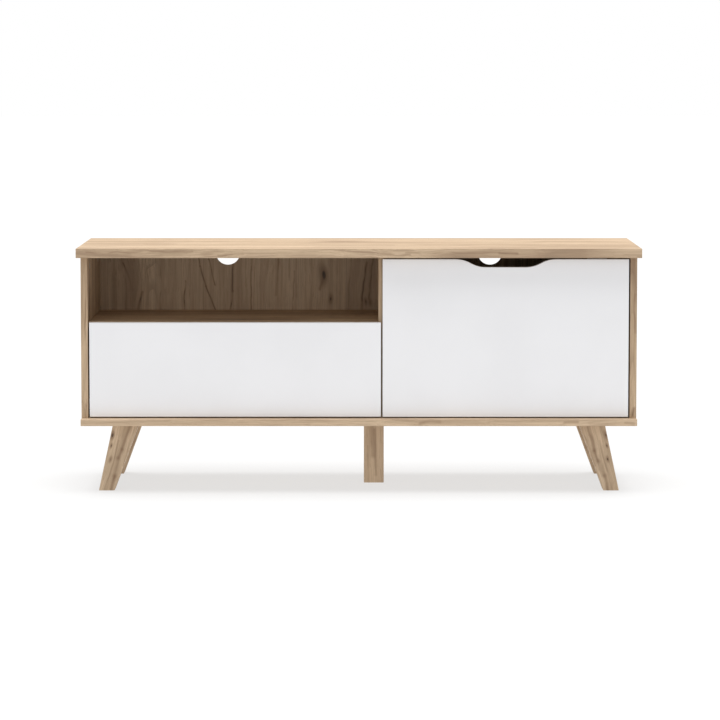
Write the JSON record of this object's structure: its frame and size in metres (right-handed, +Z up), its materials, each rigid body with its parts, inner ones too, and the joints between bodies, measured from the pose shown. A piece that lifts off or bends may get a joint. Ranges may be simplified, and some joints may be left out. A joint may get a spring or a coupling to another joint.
{
  "type": "tv stand",
  "caption": "Low TV stand in light oak board on splayed legs, with an open niche over a wide white drawer and a white drop-down flap with a finger notch.",
  "frame": {"origin": "on the floor, under the middle of the top panel", "axes": "+X towards the right-hand end, the front faces -Y, +Z up"},
  "size_m": [1.33, 0.4, 0.58],
  "materials": {
    "oak_board": "light oak decor board with a visible grain, matt",
    "oak_leg": "light oak, straight grain with small knots, matt",
    "oak_back": "thin board with light oak decor, matt",
    "white_front": "plain white coated board, matt",
    "drawer_board": "pale coated chipboard, matt",
    "zinc_steel": "zinc-plated steel",
    "zinc_casting": "die-cast zinc",
    "beech_dowel": "fluted beech dowel",
    "white_runner": "white powder-coated sheet steel",
    "grey_plastic": "grey moulded plastic",
    "white_plastic": "white moulded plastic"
  },
  "bodies": {
    "carcass": {"top_panel": "oak_board", "bottom_panel": "oak_board", "left_side_panel": "oak_board", "right_side_panel": "oak_board", "divider_panel": "oak_board", "niche_shelf": "oak_board", "back_panel_left": "oak_back", "back_panel_right": "oak_back", "back_joint_strip": "white_plastic", "front_left_leg": "oak_leg", "front_right_leg": "oak_leg", "rear_left_leg": "oak_leg", "rear_right_leg": "oak_leg", "centre_leg": "oak_leg", "foot_glides": "white_plastic", "carcass_screws": "zinc_steel", "leg_screws": "zinc_steel", "cam_locks": "zinc_casting", "cam_bolts": "zinc_steel", "wood_dowels": "beech_dowel", "back_panel_nails": "zinc_steel", "left_cabinet_runner": "white_runner", "right_cabinet_runner": "white_runner", "cabinet_roller_rivets": "zinc_steel", "latch_housing": "grey_plastic", "left_hinge_base": "zinc_steel", "right_hinge_base": "zinc_steel", "hinge_pins": "zinc_steel", "stay_cabinet_bracket": "zinc_steel", "magnetic_catch": "white_plastic", "cabinet_fitting_screws": "zinc_steel"},
    "drawer": {"drawer_front": "white_front", "drawer_left_side": "drawer_board", "drawer_right_side": "drawer_board", "drawer_back": "drawer_board", "drawer_bottom": "drawer_board", "drawer_front_cams": "zinc_casting", "drawer_front_bolts": "zinc_steel", "drawer_back_screws": "zinc_steel", "left_drawer_runner": "white_runner", "right_drawer_runner": "white_runner", "drawer_roller_rivets": "zinc_steel", "drawer_fitting_screws": "zinc_steel", "latch_strike_plate": "zinc_steel"},
    "flap": {"flap_door": "white_front", "left_hinge_leaf": "zinc_steel", "right_hinge_leaf": "zinc_steel", "stay_door_bracket": "zinc_steel", "catch_strike_plate": "zinc_steel", "flap_fitting_screws": "zinc_steel"},
    "left_cabinet_roller": {"left_cabinet_roller": "white_plastic"},
    "right_cabinet_roller": {"right_cabinet_roller": "white_plastic"},
    "left_drawer_roller": {"left_drawer_roller": "white_plastic"},
    "right_drawer_roller": {"right_drawer_roller": "white_plastic"},
    "latch_plunger": {"latch_plunger": "white_plastic"},
    "stay_upper_arm": {"stay_upper_arm": "zinc_steel"},
    "stay_lower_arm": {"stay_lower_arm": "zinc_steel"}
  },
  "joints": [
    {"name": "drawer_slide", "type": "slide", "parent": "carcass", "child": "drawer", "axis": [0, -1, 0], "range_m": [0, 0.24]},
    {"name": "left_cabinet_roller_spin", "type": "hinge", "parent": "carcass", "child": "left_cabinet_roller", "pos_m": [-0.6339, -0.14, 0.2067], "axis": [1, 0, 0], "range_deg": [0, 1540]},
    {"name": "right_cabinet_roller_spin", "type": "hinge", "parent": "carcass", "child": "right_cabinet_roller", "pos_m": [0.0399, -0.14, 0.2067], "axis": [1, 0, 0], "range_deg": [0, 1540]},
    {"name": "left_drawer_roller_spin", "type": "hinge", "parent": "drawer", "child": "left_drawer_roller", "pos_m": [-0.6329, 0.129, 0.2067], "axis": [1, 0, 0], "range_deg": [0, 1540]},
    {"name": "right_drawer_roller_spin", "type": "hinge", "parent": "drawer", "child": "right_drawer_roller", "pos_m": [0.0389, 0.129, 0.2067], "axis": [1, 0, 0], "range_deg": [0, 1540]},
    {"name": "latch_plunger_travel", "type": "slide", "parent": "carcass", "child": "latch_plunger", "axis": [0, -1, 0], "range_m": [0, 0.03]},
    {"name": "flap_hinge", "type": "hinge", "parent": "carcass", "child": "flap", "pos_m": [0.34625, -0.168, 0.1885], "axis": [1, 0, 0], "range_deg": [0, 90]},
    {"name": "stay_upper_pivot", "type": "hinge", "parent": "carcass", "child": "stay_upper_arm", "pos_m": [0.636, -0.057, 0.238], "axis": [1, 0, 0], "range_deg": [0, 90]},
    {"name": "stay_elbow", "type": "hinge", "parent": "stay_upper_arm", "child": "stay_lower_arm", "pos_m": [0.6335, -0.037, 0.351], "axis": [1, 0, 0], "range_deg": [-90, 0]}
  ],
  "couplings": [
    {"joint": "left_cabinet_roller_spin", "follows": "drawer_slide", "rad_per_m": 111.11},
    {"joint": "left_drawer_roller_spin", "follows": "drawer_slide", "rad_per_m": 111.11},
    {"joint": "right_cabinet_roller_spin", "follows": "drawer_slide", "rad_per_m": 111.11},
    {"joint": "right_drawer_roller_spin", "follows": "drawer_slide", "rad_per_m": 111.11},
    {"joint": "latch_plunger_travel", "follows": "drawer_slide", "ratio": 0.1},
    {"joint": "stay_upper_pivot", "follows": "flap_hinge", "ratio": 1},
    {"joint": "stay_elbow", "follows": "flap_hinge", "ratio": -1}
  ]
}
